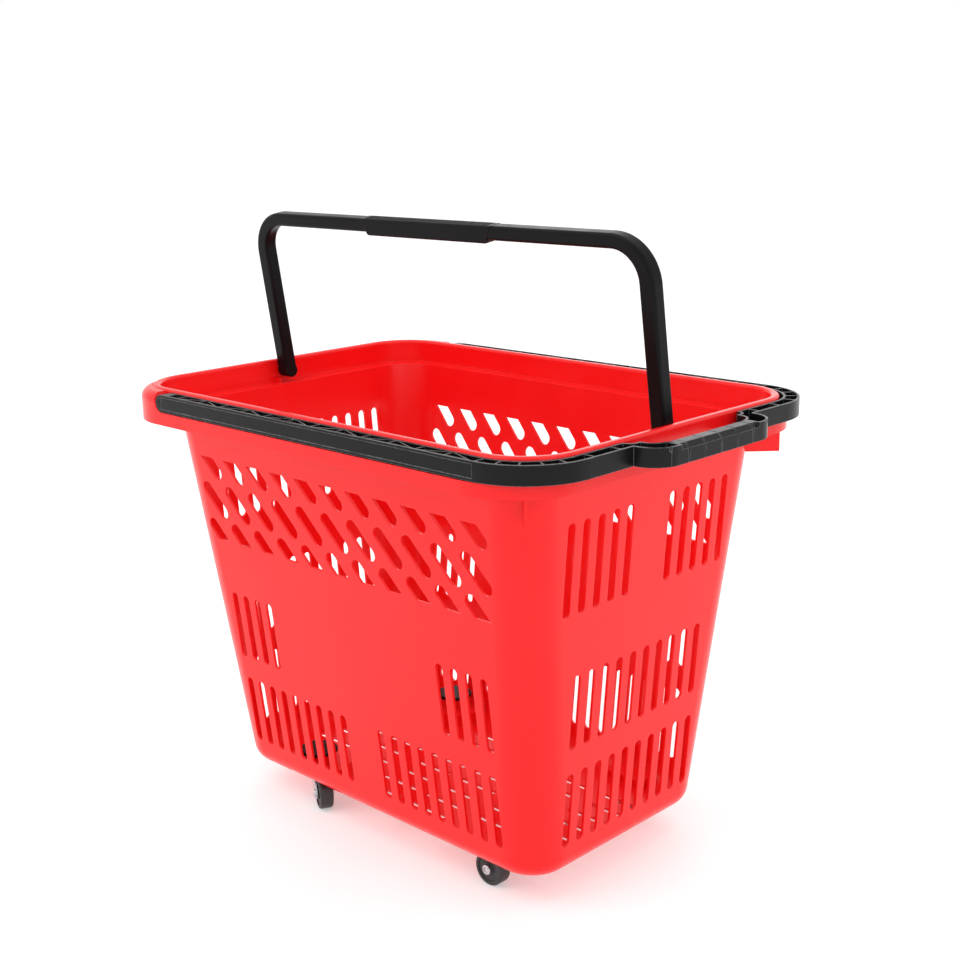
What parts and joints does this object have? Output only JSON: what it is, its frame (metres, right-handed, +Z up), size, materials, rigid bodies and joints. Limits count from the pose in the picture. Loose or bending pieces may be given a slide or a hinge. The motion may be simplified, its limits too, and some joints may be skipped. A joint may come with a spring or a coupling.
{
  "type": "rolling shopping basket",
  "caption": "Deep slotted plastic basket on swivelling front casters and rear wheels, with a folding carry bail and a hinged U-shaped pull handle.",
  "frame": {"origin": "on the ground under the middle of the whole object's bounding box, with both handles stored", "axes": "+X runs along the length from the pull handle's hinge end to its grip, +Y across the width, +Z up"},
  "size_m": [0.567, 0.396, 0.5791],
  "materials": {
    "red_plastic": "glossy moulded polypropylene",
    "black_plastic": "satin moulded",
    "wheel_plastic": "satin, hard",
    "zinc_steel": "bright zinc plate"
  },
  "bodies": {
    "basket_body": {"basket_tub": "red_plastic", "caster_socket_near": "black_plastic", "caster_socket_far": "black_plastic", "rear_axle": "zinc_steel", "rear_axle_cap_near": "zinc_steel", "rear_axle_cap_far": "zinc_steel"},
    "carry_handle": {"carry_bail": "black_plastic", "carry_grip": "black_plastic"},
    "pull_handle": {"pull_handle_frame": "black_plastic"},
    "caster_swivel_near": {"caster_fork_near": "zinc_steel", "caster_stem_near": "zinc_steel", "caster_washer_near": "zinc_steel", "caster_axle_near": "zinc_steel"},
    "caster_swivel_far": {"caster_fork_far": "zinc_steel", "caster_stem_far": "zinc_steel", "caster_washer_far": "zinc_steel", "caster_axle_far": "zinc_steel"},
    "front_wheel_near": {"front_wheel_near": "wheel_plastic"},
    "front_wheel_far": {"front_wheel_far": "wheel_plastic"},
    "rear_wheel_near": {"rear_wheel_near": "wheel_plastic"},
    "rear_wheel_far": {"rear_wheel_far": "wheel_plastic"}
  },
  "joints": [
    {"name": "carry_handle_tilt", "type": "hinge", "parent": "basket_body", "child": "carry_handle", "pos_m": [-0.0185, -0.0025, 0.412], "axis": [1, 0, 0], "range_deg": [-98.4, 81.6]},
    {"name": "pull_handle_lift", "type": "hinge", "parent": "basket_body", "child": "pull_handle", "pos_m": [-0.2085, 0, 0.413], "axis": [0, -1, 0], "range_deg": [0, 110]},
    {"name": "caster_swivel_near", "type": "hinge", "parent": "basket_body", "child": "caster_swivel_near", "pos_m": [-0.1255, -0.096, 0.045], "axis": [0, 0, 1], "continuous": true},
    {"name": "caster_swivel_far", "type": "hinge", "parent": "basket_body", "child": "caster_swivel_far", "pos_m": [-0.1255, 0.096, 0.045], "axis": [0, 0, 1], "continuous": true},
    {"name": "front_wheel_spin_near", "type": "hinge", "parent": "caster_swivel_near", "child": "front_wheel_near", "pos_m": [-0.11049, -0.10398, 0.016], "axis": [0.4695, 0.8829, 0], "continuous": true},
    {"name": "front_wheel_spin_far", "type": "hinge", "parent": "caster_swivel_far", "child": "front_wheel_far", "pos_m": [-0.11049, 0.08802, 0.016], "axis": [0.4695, 0.8829, 0], "continuous": true},
    {"name": "rear_wheel_spin_near", "type": "hinge", "parent": "basket_body", "child": "rear_wheel_near", "pos_m": [0.116, -0.09775, 0.016], "axis": [0, 1, 0], "continuous": true},
    {"name": "rear_wheel_spin_far", "type": "hinge", "parent": "basket_body", "child": "rear_wheel_far", "pos_m": [0.116, 0.09775, 0.016], "axis": [0, 1, 0], "continuous": true}
  ]
}
